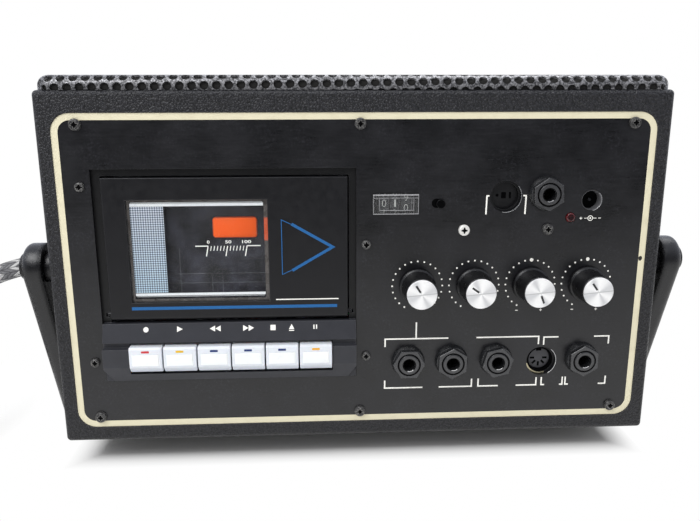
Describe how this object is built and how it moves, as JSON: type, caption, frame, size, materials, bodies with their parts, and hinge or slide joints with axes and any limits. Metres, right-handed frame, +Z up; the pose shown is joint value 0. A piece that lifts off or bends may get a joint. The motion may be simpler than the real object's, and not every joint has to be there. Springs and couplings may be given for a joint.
{
  "type": "four track cassette recorder",
  "caption": "Portable cassette recorder in a leather-grained wooden case: deck with door and keys, knobs, jack sockets, top loudspeaker and swinging handle.",
  "frame": {"origin": "on the floor under the middle of the recorder, its carrying cord left out", "axes": "+X to the right as one faces the control panel, +Y from the panel to the back, +Z up"},
  "size_m": [0.5739, 0.1828, 0.2167],
  "materials": {
    "plywood": "matt ply",
    "covering": "black leather-grained covering, satin",
    "rubber": "matt rubber",
    "black_steel": "satin black paint",
    "black_screw": "blackened screws",
    "black_plastic": "black moulded plastic",
    "panel": "fine satin black paint with cream line and white print",
    "grey_plastic": "dark grey moulded plastic",
    "door_plastic": "black moulded plastic",
    "clear": "clear plastic",
    "zinc_steel": "zinc plated",
    "bright_steel": "bright",
    "brass": "turned",
    "red_lens": "red lens",
    "grille_steel": "black painted perforated sheet",
    "cone_paper": "pressed paper",
    "board_green": "circuit board",
    "capacitor_sleeve": "shrunk sleeve",
    "handle_plastic": "satin black moulding",
    "braid": "grey braid",
    "white_plastic": "white moulded plastic"
  },
  "bodies": {
    "cabinet": {"side_boards": "plywood", "top_board": "plywood", "bottom_board": "plywood", "battens": "plywood", "vinyl_covering": "covering", "feet": "rubber", "rear_cover": "black_steel", "case_screws": "black_screw", "mains_inlet": "black_plastic", "front_panel": "panel", "front_screws": "black_screw", "deck_bezel": "grey_plastic", "deck_chassis": "zinc_steel", "key_shaft": "zinc_steel", "tape_head": "bright_steel", "motor": "zinc_steel", "drive_belt": "rubber", "counter_case": "black_plastic", "counter_window": "clear", "potentiometers": "zinc_steel", "jack_sockets": "black_plastic", "jack_nuts": "black_plastic", "din_sockets": "black_plastic", "supply_socket": "black_plastic", "power_lamp": "red_lens", "speaker_grille": "grille_steel", "speaker_basket": "zinc_steel", "speaker_cone": "cone_paper", "circuit_boards": "board_green", "smoothing_capacitors": "capacitor_sleeve", "transformer": "zinc_steel", "pivot_bolts": "handle_plastic", "strap_cord_tube": "braid", "strap_cord_coil": "braid", "strap_hook": "bright_steel"},
    "door": {"cassette_door": "door_plastic", "door_window": "clear", "cassette_holder": "door_plastic"},
    "handle": {"handle_arms": "handle_plastic", "handle_bar": "handle_plastic", "handle_rings": "rubber"},
    "supply_reel": {"supply_spindle": "black_plastic"},
    "takeup_reel": {"takeup_spindle": "black_plastic"},
    "capstan": {"capstan_flywheel": "bright_steel"},
    "roller": {"pinch_roller": "rubber"},
    "pulley": {"motor_pulley": "brass"},
    "hundreds": {"wheel_hundreds": "black_plastic"},
    "tens": {"wheel_tens": "black_plastic"},
    "units": {"wheel_units": "black_plastic"},
    "reset": {"reset_button": "black_plastic"},
    "key_record": {"key_record": "white_plastic"},
    "key_play": {"key_play": "white_plastic"},
    "key_rewind": {"key_rewind": "white_plastic"},
    "key_forward": {"key_forward": "white_plastic"},
    "key_stop": {"key_stop": "white_plastic"},
    "key_pause": {"key_pause": "white_plastic"},
    "knob_input": {"knob_input": "black_plastic"},
    "knob_tape": {"knob_tape": "black_plastic"},
    "knob_bass": {"knob_bass": "black_plastic"},
    "knob_treble": {"knob_treble": "black_plastic"}
  },
  "joints": [
    {"name": "handle_swing", "type": "hinge", "parent": "cabinet", "child": "handle", "pos_m": [0, -0.05355, 0.114], "axis": [-1, 0, 0], "range_deg": [0, 204]},
    {"name": "door_hinge", "type": "hinge", "parent": "cabinet", "child": "door", "pos_m": [-0.07065, -0.06975, 0.0905], "axis": [1, 0, 0], "range_deg": [0, 28]},
    {"name": "key_record_press", "type": "hinge", "parent": "cabinet", "child": "key_record", "pos_m": [-0.11622, -0.05255, 0.0674], "axis": [1, 0, 0], "range_deg": [0, 3.5], "stiffness_Nm_per_rad": 0.5, "springref_deg": -3.44},
    {"name": "key_play_press", "type": "hinge", "parent": "cabinet", "child": "key_play", "pos_m": [-0.09788, -0.05255, 0.0674], "axis": [1, 0, 0], "range_deg": [0, 3.5], "stiffness_Nm_per_rad": 0.5, "springref_deg": -3.44},
    {"name": "key_rewind_press", "type": "hinge", "parent": "cabinet", "child": "key_rewind", "pos_m": [-0.07952, -0.05255, 0.0674], "axis": [1, 0, 0], "range_deg": [0, 3.5], "stiffness_Nm_per_rad": 0.5, "springref_deg": -3.44},
    {"name": "key_forward_press", "type": "hinge", "parent": "cabinet", "child": "key_forward", "pos_m": [-0.06118, -0.05255, 0.0674], "axis": [1, 0, 0], "range_deg": [0, 3.5], "stiffness_Nm_per_rad": 0.5, "springref_deg": -3.44},
    {"name": "key_stop_press", "type": "hinge", "parent": "cabinet", "child": "key_stop", "pos_m": [-0.04283, -0.05255, 0.0674], "axis": [1, 0, 0], "range_deg": [0, 3.5], "stiffness_Nm_per_rad": 0.5, "springref_deg": -3.44},
    {"name": "key_pause_press", "type": "hinge", "parent": "cabinet", "child": "key_pause", "pos_m": [-0.02448, -0.05255, 0.0674], "axis": [1, 0, 0], "range_deg": [0, 3.5], "stiffness_Nm_per_rad": 0.5, "springref_deg": -3.44},
    {"name": "knob_input_turn", "type": "hinge", "parent": "cabinet", "child": "knob_input", "pos_m": [0.0313, -0.07355, 0.1047], "axis": [0, 1, 0], "range_deg": [-140, 140]},
    {"name": "knob_tape_turn", "type": "hinge", "parent": "cabinet", "child": "knob_tape", "pos_m": [0.0626, -0.07355, 0.1047], "axis": [0, 1, 0], "range_deg": [-140, 140]},
    {"name": "knob_bass_turn", "type": "hinge", "parent": "cabinet", "child": "knob_bass", "pos_m": [0.0939, -0.07355, 0.1047], "axis": [0, 1, 0], "range_deg": [-140, 140]},
    {"name": "knob_treble_turn", "type": "hinge", "parent": "cabinet", "child": "knob_treble", "pos_m": [0.1252, -0.07355, 0.1047], "axis": [0, 1, 0], "range_deg": [-140, 140]},
    {"name": "reset_press", "type": "slide", "parent": "cabinet", "child": "reset", "axis": [0, 1, 0], "range_m": [0, 0.0015], "stiffness_N_per_m": 250, "springref_m": -0.001},
    {"name": "supply_spin", "type": "hinge", "parent": "cabinet", "child": "supply_reel", "pos_m": [-0.0919, -0.04655, 0.127], "axis": [0, 1, 0], "continuous": true},
    {"name": "takeup_spin", "type": "hinge", "parent": "cabinet", "child": "takeup_reel", "pos_m": [-0.0494, -0.04655, 0.127], "axis": [0, 1, 0], "continuous": true},
    {"name": "capstan_spin", "type": "hinge", "parent": "cabinet", "child": "capstan", "pos_m": [-0.04115, -0.04655, 0.1005], "axis": [0, 1, 0], "continuous": true},
    {"name": "roller_spin", "type": "hinge", "parent": "cabinet", "child": "roller", "pos_m": [-0.04115, -0.04655, 0.0825], "axis": [0, 1, 0], "continuous": true},
    {"name": "pulley_spin", "type": "hinge", "parent": "cabinet", "child": "pulley", "pos_m": [-0.11865, -0.04655, 0.1375], "axis": [0, 1, 0], "continuous": true},
    {"name": "hundreds_spin", "type": "hinge", "parent": "cabinet", "child": "hundreds", "pos_m": [0.01295, -0.06095, 0.14995], "axis": [1, 0, 0], "continuous": true},
    {"name": "tens_spin", "type": "hinge", "parent": "cabinet", "child": "tens", "pos_m": [0.01885, -0.06095, 0.14995], "axis": [1, 0, 0], "continuous": true},
    {"name": "units_spin", "type": "hinge", "parent": "cabinet", "child": "units", "pos_m": [0.02475, -0.06095, 0.14995], "axis": [1, 0, 0], "continuous": true}
  ],
  "couplings": [
    {"joint": "pulley_spin", "follows": "capstan_spin", "ratio": 4.4},
    {"joint": "units_spin", "follows": "takeup_spin", "ratio": 1},
    {"joint": "tens_spin", "follows": "takeup_spin", "ratio": 0.1},
    {"joint": "hundreds_spin", "follows": "takeup_spin", "ratio": 0.01}
  ]
}
